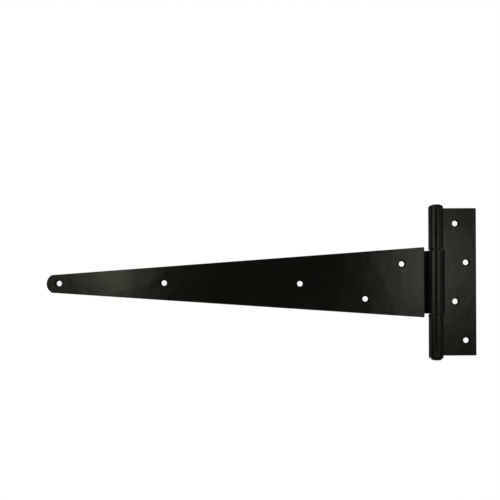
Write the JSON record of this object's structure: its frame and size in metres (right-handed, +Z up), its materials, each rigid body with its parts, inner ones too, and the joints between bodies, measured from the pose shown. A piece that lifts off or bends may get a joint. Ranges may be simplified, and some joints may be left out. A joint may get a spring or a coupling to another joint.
{
  "type": "tee hinge",
  "caption": "Tee hinge: a long tapered strap leaf swings on a pin held by the rolled edge of a tall rectangular plate leaf, both with screw holes.",
  "frame": {"origin": "middle of the plate leaf's screw pattern, on the plate's flat back face", "axes": "+Y out of the back faces, towards the wall or post; +Z up along the pin; the strap runs along -X when the hinge lies open"},
  "size_m": [0.4435, 0.0155, 0.1577],
  "materials": {
    "leaf_coat": "satin black powder coat on steel sheet",
    "pin_coat": "satin black powder coat on a steel pin"
  },
  "bodies": {
    "plate": {"plate_leaf": "leaf_coat", "hinge_pin": "pin_coat"},
    "strap": {"strap_leaf": "leaf_coat"}
  },
  "joints": [
    {"name": "strap_swing", "type": "hinge", "parent": "plate", "child": "strap", "pos_m": [-0.02765, -0.00775, 0], "axis": [0, 0, 1], "range_deg": [-100, 190]}
  ]
}
